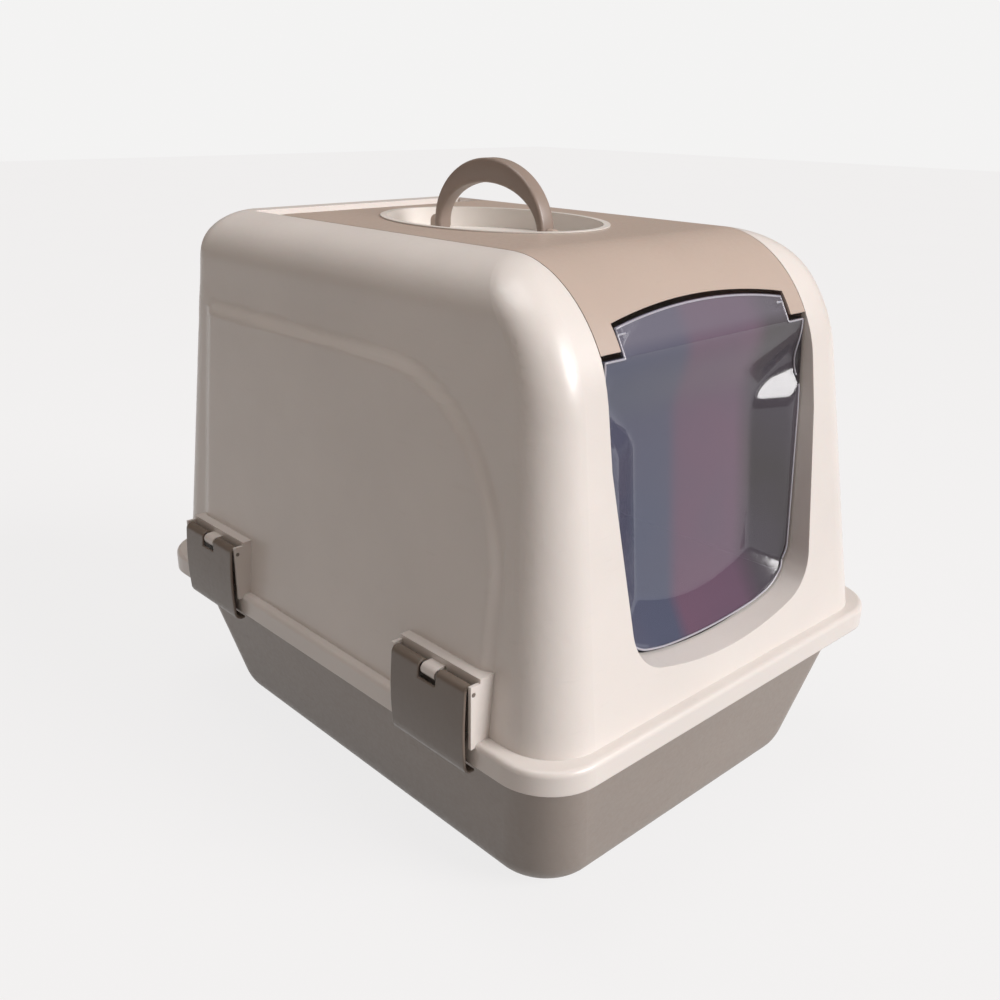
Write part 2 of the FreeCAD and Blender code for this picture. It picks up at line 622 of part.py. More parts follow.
def clip_boss(name, middle):
    """The solid block of the hood that a clip hangs on, at the side +x."""
    block = box(name + "_block", ("sizes.hoodTopHalf", "%s - %s" % (middle, BOSS_LONG), "sizes.hoodFootZ"),
                ("sizes.bossFaceX", "%s + %s" % (middle, BOSS_LONG), "sizes.bossTopZ"))
    parts = [block]
    for index, (low, high) in enumerate((("-" + BOSS_LONG, "-%s + sizes.cheekThick" % BOSS_LONG),
                                         (BOSS_LONG + " - sizes.cheekThick", BOSS_LONG))):
        parts.append(box("%s_cheek_%d" % (name, index),
                         ("sizes.bossFaceX - 2", "%s + %s" % (middle, low), "sizes.hoodFootZ"),
                         ("sizes.cheekX", "%s + %s" % (middle, high), "sizes.clipAxisZ + 6")))
    half = "(sizes.clipNotch / 2 - sizes.cheekGap)"
    parts.append(box(name + "_neck", ("sizes.bossFaceX - 2", "%s - %s" % (middle, half), "sizes.clipAxisZ - 4.4"),
                     ("sizes.clipAxisX", "%s + %s" % (middle, half), "sizes.clipAxisZ + 4.4")))
    parts.append(rod(name + "_knuckle", "y", "4.4", "2 * %s" % half,
                     ("sizes.clipAxisX", "%s - %s" % (middle, half), "sizes.clipAxisZ")))
    bore = rod(name + "_bore", "y", "sizes.clipPinRad", "2 * %s + 2" % BOSS_LONG,
               ("sizes.clipAxisX", "%s - %s - 1" % (middle, BOSS_LONG), "sizes.clipAxisZ"))
    return cut(name, fuse(name + "_parts", parts), bore)


front_boss = clip_boss("front_boss", "sizes.clipFrontY")
rear_boss = clip_boss("rear_boss", "sizes.clipRearY")

slot = box("lid_slot", ("-sizes.lidHalf - sizes.lidGap", "-300", "sizes.lidTabZ - sizes.lidGap"),
           ("sizes.lidHalf + sizes.lidGap", "sizes.lidBackY + sizes.lidGap", "sizes.hoodTopZ + 20"))
pocket_hole = box("pocket_hole", ("-sizes.pocketHalf", "sizes.lidBackY - 5", "sizes.pocketFloorZ"),
                  ("sizes.pocketHalf", "sizes.pocketBackY", "sizes.hoodTopZ + 20"))
pocket_block = box("pocket_block", ("-sizes.pocketHalf - sizes.pocketWall", "sizes.lidBackY + sizes.lidGap",
                                    "sizes.pocketFloorZ - sizes.pocketWall"),
                   ("sizes.pocketHalf + sizes.pocketWall", "sizes.pocketBackY + sizes.pocketWall",
                    "sizes.hoodTopZ"))
pocket_inside = common("pocket_inside", [pocket_block, outer_form])
cross_ledge = box("cross_ledge", ("-sizes.pocketHalf - sizes.pocketWall", "sizes.lidBackY - 11",
                                  "sizes.pocketFloorZ - sizes.pocketWall"),
                  ("sizes.pocketHalf + sizes.pocketWall", "sizes.lidBackY + 5", "sizes.pocketFloorZ"))
ears = []
for index, side in enumerate(("-", "+")):
    low = "sizes.hingeX %s (sizes.hingeArm / 2 + 0.4)" % side
    if side == "-":
        low = low + " - sizes.hingeEar"
    ears.append(box("ear_base_%d" % index, (low, "sizes.hingeY - sizes.hingeKnuckle", "sizes.pocketFloorZ - 1"),
                    (low + " + sizes.hingeEar", "sizes.hingeY + sizes.hingeKnuckle", "sizes.hingeZ")))
    ears.append(rod("ear_round_%d" % index, "x", "sizes.hingeKnuckle", "sizes.hingeEar",
                    (low, "sizes.hingeY", "sizes.hingeZ")))
hinge_bore = rod("hinge_bore", "x", "sizes.hingePinRad", "sizes.hingeArm + 2 * sizes.hingeEar + 3",
                 ("sizes.hingeX - sizes.hingeArm / 2 - sizes.hingeEar - 1.5", "sizes.hingeY", "sizes.hingeZ"))
hinge_ears = cut("hinge_ears", fuse("ear_parts", ears), hinge_bore)

seat_bar = box("seat_bar", ("sizes.seatInner", "-300", "sizes.lidTabZ - 1"),
               ("sizes.seatOuter", "sizes.lidBackY", "sizes.hoodTopZ + 20"))
seat_skin = cut("seat_skin", inner_form, seat_form)
seats = common("seats", [seat_skin, fuse("seat_bars", both_sides("seat_bar", [seat_bar]))])

hood_solid = fuse("hood_solid", [outer_form, flange] + both_sides("boss", [front_boss, rear_boss]))
hood_hollow = cut("hood_hollow", hood_solid, inner_form)
hood_framed = fuse("hood_framed", [hood_hollow, doorway_frame, pocket_inside])
hood_open = cut("hood_open", hood_framed, fuse("hood_cuts", [doorway_cut, slot, pocket_hole]))
hood = fuse("hood_body", [hood_open, seats, cross_ledge] + both_sides("ears", [hinge_ears]))
node(hood, "hood")

# ---------------------------------------------------------------- lid

lid_zone = box("lid_zone", ("-sizes.lidHalf", "-300", "sizes.lidTabZ"),
               ("sizes.lidHalf", "sizes.lidBackY", "sizes.hoodTopZ + 20"))
lid_skin = common("lid_skin", [cut("lid_shell", outer_form, lid_form), lid_zone])

arch = new_body("arch")
arch_sketch = new_sketch(arch, "arch_sketch", "XZ_Plane", "165")
ARCH_RISE = "(sizes.lidArchMidZ - sizes.lidArchSideZ)"
outline(arch_sketch, "edge", [
    ("-sizes.lidTabInner", "sizes.lidTabZ - 5"), ("sizes.lidTabInner", "sizes.lidTabZ - 5"),
    ("sizes.lidTabInner", "sizes.lidArchSideZ"), ("-sizes.lidTabInner", "sizes.lidArchSideZ"),
], {2: "(%s^2 + sizes.lidTabInner^2) / (2 * %s)" % (ARCH_RISE, ARCH_RISE)})
doc.recompute()
arch.Tip = pad(arch, "arch_pad", arch_sketch, "120")

bowl_outside = oval("bowl_outside", "sizes.ovalHalfX + sizes.bowlWall", "sizes.ovalHalfY + sizes.bowlWall",
                    "sizes.bowlFloorZ", "sizes.hoodTopZ - sizes.lidWall / 2")
bowl_inside = oval("bowl_inside", "sizes.ovalHalfX", "sizes.ovalHalfY",
                   "sizes.bowlFloorZ + sizes.bowlWall", "sizes.hoodTopZ + 10")
vent_hole = oval("vent_hole", "sizes.ventHalfX", "sizes.ventHalfY",
                 "sizes.bowlFloorZ - 2", "sizes.hoodTopZ + 10")
back_lip = box("back_lip", ("-sizes.lipHalf", "sizes.lidBackY - sizes.lidWall",
                            "sizes.pocketFloorZ + 0.8"),
               ("sizes.lipHalf", "sizes.lidBackY", "sizes.hoodTopZ - sizes.lidWall / 2"))
arm = fuse("hinge_arm", [
    box("arm_block", ("sizes.hingeX - sizes.hingeArm / 2", "sizes.lidBackY - 2", "sizes.hingeZ - sizes.armHalf"),
        ("sizes.hingeX + sizes.hingeArm / 2", "sizes.hingeY", "sizes.hingeZ + sizes.armHalf")),
    rod("arm_round", "x", "sizes.hingeKnuckle", "sizes.hingeArm",
        ("sizes.hingeX - sizes.hingeArm / 2", "sizes.hingeY", "sizes.hingeZ")),
])
arm_bore = rod("arm_bore", "x", "sizes.hingePinRad + sizes.runGap", "sizes.hingeArm + 2",
               ("sizes.hingeX - sizes.hingeArm / 2 - 1", "sizes.hingeY", "sizes.hingeZ"))
hinge_arms = both_sides("arm", [cut("bored_arm", arm, arm_bore)])

door_boss = fuse("door_boss", [
    rod("door_boss_round", "x", "sizes.doorBossRad", "sizes.doorBossLong",
        ("sizes.lidTabInner + 0.6", "sizes.doorAxisY", "sizes.doorAxisZ")),
    box("door_boss_web", ("sizes.lidTabInner + 0.6", "sizes.doorAxisY - 6.5", "sizes.doorAxisZ - sizes.doorBossRad"),
        ("sizes.lidTabInner + 10", "sizes.doorAxisY", "sizes.doorAxisZ + 1.5")),
])
door_bore = rod("door_bore", "x", "sizes.doorPinRad + sizes.runGap", "12",
                ("sizes.lidTabInner - 1", "sizes.doorAxisY", "sizes.doorAxisZ"))
door_bosses = both_sides("door_boss", [cut("bored_boss", door_boss, door_bore)])

lug_start = "sizes.handleY + sizes.handleHalf + sizes.lugGap"
lug = cut("lug", fuse("lug_parts", [
    box("lug_block", ("-sizes.lugHalf", lug_start, "sizes.bowlFloorZ"),
        ("sizes.lugHalf", lug_start + " + sizes.lugThick", "sizes.handleAxisZ")),
    rod("lug_round", "y", "sizes.lugHalf", "sizes.lugThick", ("0", lug_start, "sizes.handleAxisZ")),
]), rod("lug_bore", "y", "sizes.handlePinRad + sizes.runGap", "sizes.lugThick + 2",
        ("0", lug_start + " - 1", "sizes.handleAxisZ")))
lug_other = doc.addObject("Part::Mirroring", "lug_other")
lug_other.Source = lug
lug_other.Normal = FreeCAD.Vector(0, 1, 0)
bind(lug_other, "Base.y", "sizes.handleY")

lid_cut = cut("lid_cut", lid_skin, fuse("lid_cuts", [arch, bowl_inside]))
bowl = cut("bowl", cut("bowl_shell", bowl_outside, bowl_inside), vent_hole)
lid = fuse("lid_body", [lid_cut, bowl, back_lip, lug, lug_other] + hinge_arms + door_bosses)
node(lid, "lid")

# ---------------------------------------------------------------- filter cover, filter and basket

cover_outside = oval("cover_outside", "sizes.ovalHalfX - sizes.coverGap", "sizes.ovalHalfY - sizes.coverGap",
                     "sizes.bowlFloorZ + sizes.bowlWall + 0.2", "sizes.hoodTopZ + sizes.coverRimHeight")
cover_inside = oval("cover_inside", "sizes.ovalHalfX - sizes.coverGap - sizes.coverWall",
                    "sizes.ovalHalfY - sizes.coverGap - sizes.coverWall",
                    "sizes.bowlFloorZ + sizes.bowlWall + 0.2 + sizes.coverWall", "sizes.hoodTopZ + 10")
cover_rim = oval("cover_rim", "sizes.ovalHalfX + sizes.coverRim", "sizes.ovalHalfY + sizes.coverRim",
                 "sizes.hoodTopZ + 0.1", "sizes.hoodTopZ + sizes.coverRimHeight")
cover_cuts = [cover_inside]
for index in range(-5, 6):
    along = "sizes.handleY + %d * sizes.slotStep" % index
    reach = "%.3f * sizes.ventHalfX" % (0.86 * math.sqrt(1 - (index / 6.2) ** 2))
    cover_cuts.append(box("vent_slot_%d" % (index + 5),
                          ("-" + reach, along + " - sizes.slotWide / 2", "sizes.bowlFloorZ"),
                          (reach, along + " + sizes.slotWide / 2", "sizes.hoodTopZ")))
for index, start in enumerate(("sizes.handleY + sizes.handleHalf + sizes.lugGap - sizes.lugClear",
                               "sizes.handleY - sizes.handleHalf - sizes.lugGap - sizes.lugThick - sizes.lugClear")):
    cover_cuts.append(box("lug_window_%d" % index, ("-sizes.lugHalf - sizes.lugClear", start, "sizes.bowlFloorZ"),
                          ("sizes.lugHalf + sizes.lugClear", start + " + sizes.lugThick + 2 * sizes.lugClear",
                           "sizes.hoodTopZ")))
cover = cut("cover", fuse("cover_solid", [cover_outside, cover_rim]), fuse("cover_cuts", cover_cuts))
node(cover, "filter_cover")

FILTER_TOP = "sizes.bowlFloorZ - 0.2"
carbon = box("carbon", ("-sizes.filterHalfX", "sizes.handleY - sizes.filterHalfY",
                        FILTER_TOP + " - sizes.filterThick"),
             ("sizes.filterHalfX", "sizes.handleY + sizes.filterHalfY", FILTER_TOP))
node(carbon, "carbon_filter")

BASKET_FLOOR = "sizes.bowlFloorZ - sizes.filterThick - 0.4"
BASKET_HALF_X = "(sizes.filterHalfX + sizes.basketGap)"
BASKET_HALF_Y = "(sizes.filterHalfY + sizes.basketGap)"
basket_cuts = [box("basket_inside",
                   ("-" + BASKET_HALF_X, "sizes.handleY - " + BASKET_HALF_Y, BASKET_FLOOR),
                   (BASKET_HALF_X, "sizes.handleY + " + BASKET_HALF_Y, "sizes.bowlFloorZ + 5"))]
for column in range(-1, 2):
    for line in range(-2, 3):
        middle_x = "%d * (sizes.filterHalfX * 0.62)" % column
        middle_y = "sizes.handleY + %d * (sizes.filterHalfY * 0.37)" % line
        basket_cuts.append(box("basket_window_%d_%d" % (column + 1, line + 2),
                               (middle_x + " - 9", middle_y + " - 7", BASKET_FLOOR + " - 5"),
                               (middle_x + " + 9", middle_y + " + 7", BASKET_FLOOR + " + 1")))
basket_block = box("basket_block",
                   ("-%s - sizes.basketWall" % BASKET_HALF_X,
                    "sizes.handleY - %s - sizes.basketWall" % BASKET_HALF_Y,
                    BASKET_FLOOR + " - sizes.basketWall"),
                   (BASKET_HALF_X + " + sizes.basketWall",
                    "sizes.handleY + %s + sizes.basketWall" % BASKET_HALF_Y,
                    "sizes.bowlFloorZ"))
basket = cut("basket", basket_block, fuse("basket_cuts", basket_cuts))
node(basket, "filter_basket")

# ---------------------------------------------------------------- carrying handle


def arch_block(name, half_y, rise, shrink):
    """The upper half of an oval in the plane x = 0, as a block across the handle's width."""
    ring = doc.addObject("Part::Ellipse", name + "_ring")
    facing = FreeCAD.Rotation(FreeCAD.Vector(0, 1, 0), FreeCAD.Vector(0, 0, 1), FreeCAD.Vector(1, 0, 0), "ZXY")
    ring.Placement = FreeCAD.Placement(FreeCAD.Vector(), facing)
    bind(ring, "MajorRadius", half_y)
    bind(ring, "MinorRadius", rise)
    bind(ring, "Placement.Base.x", "-sizes.handleWide / 2 - (%s)" % shrink)
    bind(ring, "Placement.Base.y", "sizes.handleY")
    bind(ring, "Placement.Base.z", "sizes.handleAxisZ")
    block = doc.addObject("Part::Extrusion", name + "_block")
    block.Base = ring
    block.DirMode = "Custom"
    block.Dir = FreeCAD.Vector(1, 0, 0)
    block.Solid = True
    bind(block, "LengthFwd", "sizes.handleWide + 2 * (%s)" % shrink)
    upper = box(name + "_upper", ("-50", "-100", "sizes.handleAxisZ"), ("50", "150", "sizes.handleTopZ + 50"))
    return common(name, [block, upper])


handle_outer = arch_block("handle_outer", "sizes.handleHalf", "sizes.handleTopZ - sizes.handleAxisZ", "0")
handle_inner = arch_block("handle_inner", "sizes.handleHalf - sizes.handleLeg",
                          "sizes.handleTopZ - sizes.handleGrip - sizes.handleAxisZ", "5")
foot_block = box("foot_block",
                 ("-sizes.handleWide / 2", "sizes.handleY - sizes.handleHalf", "sizes.handleAxisZ - 5"),
                 ("sizes.handleWide / 2", "sizes.handleY + sizes.handleHalf", "sizes.handleAxisZ"))
foot_round = rod("foot_round", "y", "sizes.handleFootRad", "2 * sizes.handleHalf",
                 ("0", "sizes.handleY - sizes.handleHalf", "sizes.handleAxisZ"))
foot_inside = box("foot_inside", ("-50", "sizes.handleY - sizes.handleHalf + sizes.handleLeg",
                                  "sizes.handleAxisZ - 5.5"),
                  ("50", "sizes.handleY + sizes.handleHalf - sizes.handleLeg", "sizes.handleAxisZ + 1"))
handle_bore = rod("handle_bore", "y", "sizes.handlePinRad", "2 * sizes.handleHalf + 4",
                  ("0", "sizes.handleY - sizes.handleHalf - 2", "sizes.handleAxisZ"))
bore_stop = box("bore_stop", ("-50", "sizes.handleY - sizes.handleHalf + sizes.handleLeg - 1",
                              "sizes.handleAxisZ - 50"),
                ("50", "sizes.handleY + sizes.handleHalf - sizes.handleLeg + 1", "sizes.handleAxisZ + 50"))
handle = cut("handle", fuse("handle_solid", [handle_outer, common("handle_feet", [foot_block, foot_round])]),
             fuse("handle_cuts", [handle_inner, foot_inside, cut("handle_bores", handle_bore, bore_stop)]))
node(handle, "carry_handle")
PIN_START = "sizes.handleHalf - sizes.handleLeg + 1"
rear_pin = rod("rear_pin", "y", "sizes.handlePinRad", "sizes.handlePinLen",
               ("0", "sizes.handleY + " + PIN_START, "sizes.handleAxisZ"))
front_pin = rod("front_pin", "y", "sizes.handlePinRad", "sizes.handlePinLen",
                ("0", "sizes.handleY - (%s) - sizes.handlePinLen" % PIN_START, "sizes.handleAxisZ"))
node(rear_pin, "handle_pin_rear")
node(front_pin, "handle_pin_front")

# ---------------------------------------------------------------- lid hinge pins

PIN_LONG = "(sizes.hingeArm + 2 * (0.4 + sizes.hingeEar))"
for side, start in (("right", "sizes.hingeX - %s / 2" % PIN_LONG),
                    ("left", "-sizes.hingeX - %s / 2" % PIN_LONG)):
    node(rod("hinge_pin_" + side, "x", "sizes.hingePinRad", PIN_LONG, (start, "sizes.hingeY", "sizes.hingeZ")),
         "lid_hinge_pin_" + side)

# ---------------------------------------------------------------- swing door

# The door is drawn around its hinge axis and then leaned: local z = 0 is the axis.
door_at = ("0", "sizes.doorAxisY", "sizes.doorAxisZ")


def door_placed(thing, lean_expression):
    thing.Placement = FreeCAD.Placement(
        FreeCAD.Vector(), FreeCAD.Rotation(FreeCAD.Vector(1, 0, 0), -value_of(lean_expression)))
    for prop, expression in zip(("x", "y", "z"), door_at):
        bind(thing, "Placement.Base." + prop, expression)


def low(expression):
    """A height on the door's front face as a height in the door's own leaned frame."""
    return "((%s - sizes.doorAxisZ - sizes.doorFace * sin(sizes.doorTilt)) / cos(sizes.doorTilt))" % expression


panel = new_body("door_panel")
panel_sketch = new_sketch(panel, "panel_sketch", "XZ_Plane", "sizes.doorFace - sizes.doorThick")
doorway_outline(panel_sketch, "far", "-sizes.doorGap", low, low("sizes.doorShoulderZ"))
doc.recompute()
panel.Tip = pad(panel, "panel_pad", panel_sketch, "sizes.doorThick")
door_placed(panel, "sizes.doorTilt")

strip = new_body("door_strip")
strip_sketch = new_sketch(strip, "strip_sketch", "XZ_Plane")
STRIP_RISE = "(sizes.doorTopMidZ - sizes.doorTopSideZ)"
outline(strip_sketch, "edge", [
    ("-sizes.doorNeckHalf", "-1.4"), ("sizes.doorNeckHalf", "-1.4"),
    ("sizes.doorNeckHalf", "(sizes.doorTopSideZ - sizes.doorShoulderZ) / cos(sizes.doorStripLean)"),
    ("-sizes.doorNeckHalf", "(sizes.doorTopSideZ - sizes.doorShoulderZ) / cos(sizes.doorStripLean)"),
], {2: "(%s^2 + sizes.doorNeckHalf^2) / (2 * %s)" % (STRIP_RISE, STRIP_RISE)})
doc.recompute()
strip.Tip = pad(strip, "strip_pad", strip_sketch, "sizes.doorThick")
strip.Placement = FreeCAD.Placement(
    FreeCAD.Vector(), FreeCAD.Rotation(FreeCAD.Vector(1, 0, 0), -size("doorStripLean")))
bind(strip, "Placement.Base.y", "sizes.doorAxisY - sizes.doorFace + sizes.doorThick - 0.8")
bind(strip, "Placement.Base.z", "sizes.doorShoulderZ")

knuckle = fuse("door_knuckle", [
    box("door_knuckle_block", ("sizes.doorPinInner", "sizes.doorAxisY - 5.2", "sizes.doorAxisZ - 4"),
        ("sizes.doorNeckHalf", "sizes.doorAxisY", "sizes.doorAxisZ + 2.5")),
    rod("door_knuckle_round", "x", "4", "sizes.doorNeckHalf - sizes.doorPinInner",
        ("sizes.doorPinInner", "sizes.doorAxisY", "sizes.doorAxisZ")),
])
knuckle_bore = rod("door_knuckle_bore", "x", "sizes.doorPinRad", "sizes.doorNeckHalf",
                   ("sizes.doorPinInner", "sizes.doorAxisY", "sizes.doorAxisZ"))
knuckles = both_sides("door_knuckle", [cut("bored_knuckle", knuckle, knuckle_bore)])
door = fuse("door", [panel, strip] + knuckles)
node(door, "swing_door")
for side, start in (("right", "sizes.doorPinInner"), ("left", "-sizes.doorPinOuter")):
    node(rod("door_pin_" + side, "x", "sizes.doorPinRad", "sizes.doorPinOuter - sizes.doorPinInner",
             (start, "sizes.doorAxisY", "sizes.doorAxisZ")), "door_pin_" + side)

# ---------------------------------------------------------------- side clips


def clip(name, middle):
    """A clip on the side +x: a rolled top on its pin, a flat plate and a toe that reaches under the skirt."""
    start = "%s - sizes.clipLong / 2" % middle
    finish = "%s + sizes.clipLong / 2" % middle
    face = "sizes.clipAxisX + sizes.clipBarrel"
    parts = [
        rod(name + "_barrel", "y", "sizes.clipBarrel", "sizes.clipLong",
            ("sizes.clipAxisX", start, "sizes.clipAxisZ")),
        box(name + "_plate", (face + " - sizes.clipPlate", start, "sizes.clipBottomZ"),
            (face, finish, "sizes.clipAxisZ")),
        box(name + "_toe", ("sizes.clipToeX", start, "sizes.clipBottomZ"),
            (face, finish, "sizes.clipBottomZ + sizes.clipPlate")),
    ]
    notch = box(name + "_notch", ("sizes.clipAxisX - 20", "%s - sizes.clipNotch / 2" % middle,
                                  "sizes.clipAxisZ - 6"),
                ("sizes.clipAxisX + 20", "%s + sizes.clipNotch / 2" % middle, "sizes.clipAxisZ + 20"))
    bore = rod(name + "_clip_bore", "y", "sizes.clipPinRad + sizes.runGap", "sizes.clipLong + 2",
               ("sizes.clipAxisX", start + " - 1", "sizes.clipAxisZ"))
    return cut(name, fuse(name + "_solid", parts), fuse(name + "_cuts", [notch, bore]))


for place, middle in (("front", "sizes.clipFrontY"), ("rear", "sizes.clipRearY")):
    right_clip = clip("clip_" + place, middle)
    node(right_clip, "clip_%s_right" % place)
    node(mirror_x("clip_%s_other" % place, right_clip), "clip_%s_left" % place)
    right_pin = rod("clip_pin_" + place, "y", "sizes.clipPinRad", "2 * " + BOSS_LONG,
                    ("sizes.clipAxisX", "%s - %s" % (middle, BOSS_LONG), "sizes.clipAxisZ"))
    node(right_pin, "clip_pin_%s_right" % place)
    node(mirror_x("clip_pin_%s_other" % place, right_pin), "clip_pin_%s_left" % place)

# ---------------------------------------------------------------- checks and export

doc.recompute()
for thing in doc.Objects:
    if "Invalid" in thing.State or "Error" in thing.State:
        raise RuntimeError("%s has not been rebuilt" % thing.Name)
os.makedirs("parts", exist_ok=True)
for thing in nodes:
    shape = thing.Shape
    if shape.isNull() or not shape.isValid() or len(shape.Solids) != 1:
        raise RuntimeError("%s is not one valid solid: %d" % (thing.Label, len(shape.Solids)))
    shape.exportStep("parts/%s.step" % thing.Label)
    print("%-20s %8.1f cm3" % (thing.Label, shape.Volume / 1000))
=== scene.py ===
import math

import bmesh
import bpy
from mathutils import Matrix, Vector


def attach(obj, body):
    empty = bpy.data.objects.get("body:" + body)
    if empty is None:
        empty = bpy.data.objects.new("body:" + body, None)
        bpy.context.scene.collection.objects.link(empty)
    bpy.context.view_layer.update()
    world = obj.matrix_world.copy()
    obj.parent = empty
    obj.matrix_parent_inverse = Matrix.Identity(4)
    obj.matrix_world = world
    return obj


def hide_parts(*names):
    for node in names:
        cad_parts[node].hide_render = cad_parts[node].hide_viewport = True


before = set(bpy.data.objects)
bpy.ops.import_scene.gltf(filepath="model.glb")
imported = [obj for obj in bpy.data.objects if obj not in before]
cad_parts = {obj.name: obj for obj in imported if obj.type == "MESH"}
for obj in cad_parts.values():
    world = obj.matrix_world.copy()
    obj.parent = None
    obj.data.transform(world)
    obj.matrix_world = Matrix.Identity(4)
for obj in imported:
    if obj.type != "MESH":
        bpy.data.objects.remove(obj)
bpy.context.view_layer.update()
MM = 0.001

# ---------------------------------------------------------------- materials


MOULD_EDGE = 0.0009     # radius of the broken edges in the shading
SHEET_HALF = 0.115      # the painted reflection and shade across the door sheet run over this half width


class Tree:
    """A material's node tree with short calls for the nodes that the surfaces share."""

    def __init__(self, name):
        self.material = bpy.data.materials.new(name)
        self.material.use_nodes = True
        self.tree = self.material.node_tree
        self.tree.nodes.clear()
        self.output = self.tree.nodes.new("ShaderNodeOutputMaterial")
        self.shader = self.tree.nodes.new("ShaderNodeBsdfPrincipled")
        self.link(self.shader.outputs["BSDF"], self.output.inputs["Surface"])
        self.place = self.tree.nodes.new("ShaderNodeTexCoord").outputs["Object"]

    def link(self, source, target):
        self.tree.links.new(source, target)

    def noise(self, scale, detail=3.0, rough=0.5, stretch=None):
        node = self.tree.nodes.new("ShaderNodeTexNoise")
        node.inputs["Scale"].default_value = scale
        node.inputs["Detail"].default_value = detail
        node.inputs["Roughness"].default_value = rough
        place = self.place
        if stretch is not None:
            mapping = self.tree.nodes.new("ShaderNodeMapping")
            mapping.inputs["Scale"].default_value = stretch
            self.link(place, mapping.inputs["Vector"])
            place = mapping.outputs["Vector"]
        self.link(place, node.inputs["Vector"])
        return node.outputs["Fac"]

    def ramp(self, source, stops):
        node = self.tree.nodes.new("ShaderNodeValToRGB")
        elements = node.color_ramp.elements
        while len(elements) < len(stops):
            elements.new(0.5)
        for element, (position, value) in zip(elements, stops):
            element.position = position
            element.color = value if len(value) == 4 else (*value, 1.0)
        self.link(source, node.inputs["Fac"])
        return node.outputs["Color"]

    def span(self, source, low, high, first, last):
        node = self.tree.nodes.new("ShaderNodeMapRange")
        for name, value in (("From Min", low), ("From Max", high), ("To Min", first), ("To Max", last)):
            node.inputs[name].default_value = value
        self.link(source, node.inputs["Value"])
        return node.outputs["Result"]

    def mix(self, factor, first, second):
        node = self.tree.nodes.new("ShaderNodeMix")
        node.data_type = "RGBA"
        if hasattr(factor, "node"):
            self.link(factor, node.inputs[0])
        else:
            node.inputs[0].default_value = factor
        for value, socket in ((first, node.inputs[6]), (second, node.inputs[7])):
            if hasattr(value, "node"):
                self.link(value, socket)
            else:
                socket.default_value = (*value, 1.0)
        return node.outputs[2]

    def math(self, kind, first, second):
        node = self.tree.nodes.new("ShaderNodeMath")
        node.operation = kind
        for value, socket in ((first, node.inputs[0]), (second, node.inputs[1])):
            if hasattr(value, "node"):
                self.link(value, socket)
            else:
                socket.default_value = value
        return node.outputs[0]

    def rounded(self, radius):
        """The normal with every sharp edge broken by a small radius, as a mould leaves it."""
        node = self.tree.nodes.new("ShaderNodeBevel")
        node.samples = 4
        node.inputs["Radius"].default_value = radius
        return node.outputs["Normal"]

    def bump(self, height, strength, distance, below=None):
        node = self.tree.nodes.new("ShaderNodeBump")
        node.inputs["Strength"].default_value = strength
        node.inputs["Distance"].default_value = distance
        self.link(height, node.inputs["Height"])
        if below is not None:
            self.link(below, node.inputs["Normal"])
        return node.outputs["Normal"]


def srgb(red, green, blue):
    """Screen colour 0 to 255 as linear numbers."""
    def one(value):
        value = value / 255
        return value / 12.92 if value <= 0.04045 else ((value + 0.055) / 1.055) ** 2.4
    return (one(red), one(green), one(blue))


def moulded(name, colour, rough=0.36, coat=0.0, grime=0.25, grain=0.12):
    """Moulded polypropylene: slight tone drift, a fine grain, faint scuffs and softly broken edges."""
    t = Tree(name)
    base = srgb(*colour)
    drift = t.noise(7.0, 4.0, 0.55)
    tone = t.ramp(drift, [(0.3, [c * 0.95 for c in base]), (0.7, [min(c * 1.03, 1.0) for c in base])])
    speck = t.span(t.noise(900.0, 2.0), 0.42, 0.60, 0.0, 1.0)
    tone = t.mix(t.math("MULTIPLY", speck, 0.05), tone, [c * 0.86 for c in base])
    scuff = t.span(t.noise(38.0, 6.0, 0.72, (1.0, 1.0, 6.0)), 0.60, 0.78, 0.0, 1.0)
    dull = t.mix(t.math("MULTIPLY", scuff, grime), tone, [c * 0.80 for c in base])
    t.link(dull, t.shader.inputs["Base Color"])
    fine = t.noise(260.0, 4.0, 0.6)
    roughness = t.math("ADD", t.span(fine, 0.35, 0.65, rough - 0.04, rough + 0.05),
                       t.math("MULTIPLY", scuff, 0.12))
    t.link(roughness, t.shader.inputs["Roughness"])
    grain_height = t.noise(1500.0, 2.0, 0.6)
    wave = t.noise(9.0, 2.0, 0.4)
    skin = t.bump(wave, 0.12, 0.0012, t.rounded(MOULD_EDGE))
    t.link(t.bump(grain_height, grain, 0.0002, skin), t.shader.inputs["Normal"])
    t.shader.inputs["IOR"].default_value = 1.49
    t.shader.inputs["Coat Weight"].default_value = coat
    t.shader.inputs["Coat Roughness"].default_value = 0.15
    t.shader.inputs["Subsurface Weight"].default_value = 0.04
    t.shader.inputs["Subsurface Scale"].default_value = 0.004
    return t.material


HOOD = moulded("hood_white", (226, 219, 214), 0.33, 0.15)
COVER = moulded("cover_white", (228, 222, 216), 0.38)
LID = moulded("lid_taupe", (188, 170, 158), 0.36, 0.08)
TRAY = moulded("tray_taupe", (146, 135, 127), 0.42, 0.0, 0.4)
CLIP = moulded("clip_taupe", (118, 106, 96), 0.36, 0.06)
HANDLE = moulded("handle_taupe", (146, 130, 120), 0.36, 0.06)
PIN = moulded("pin_grey", (120, 110, 102), 0.5)
BASKET = moulded("basket_taupe", (150, 138, 128), 0.5)


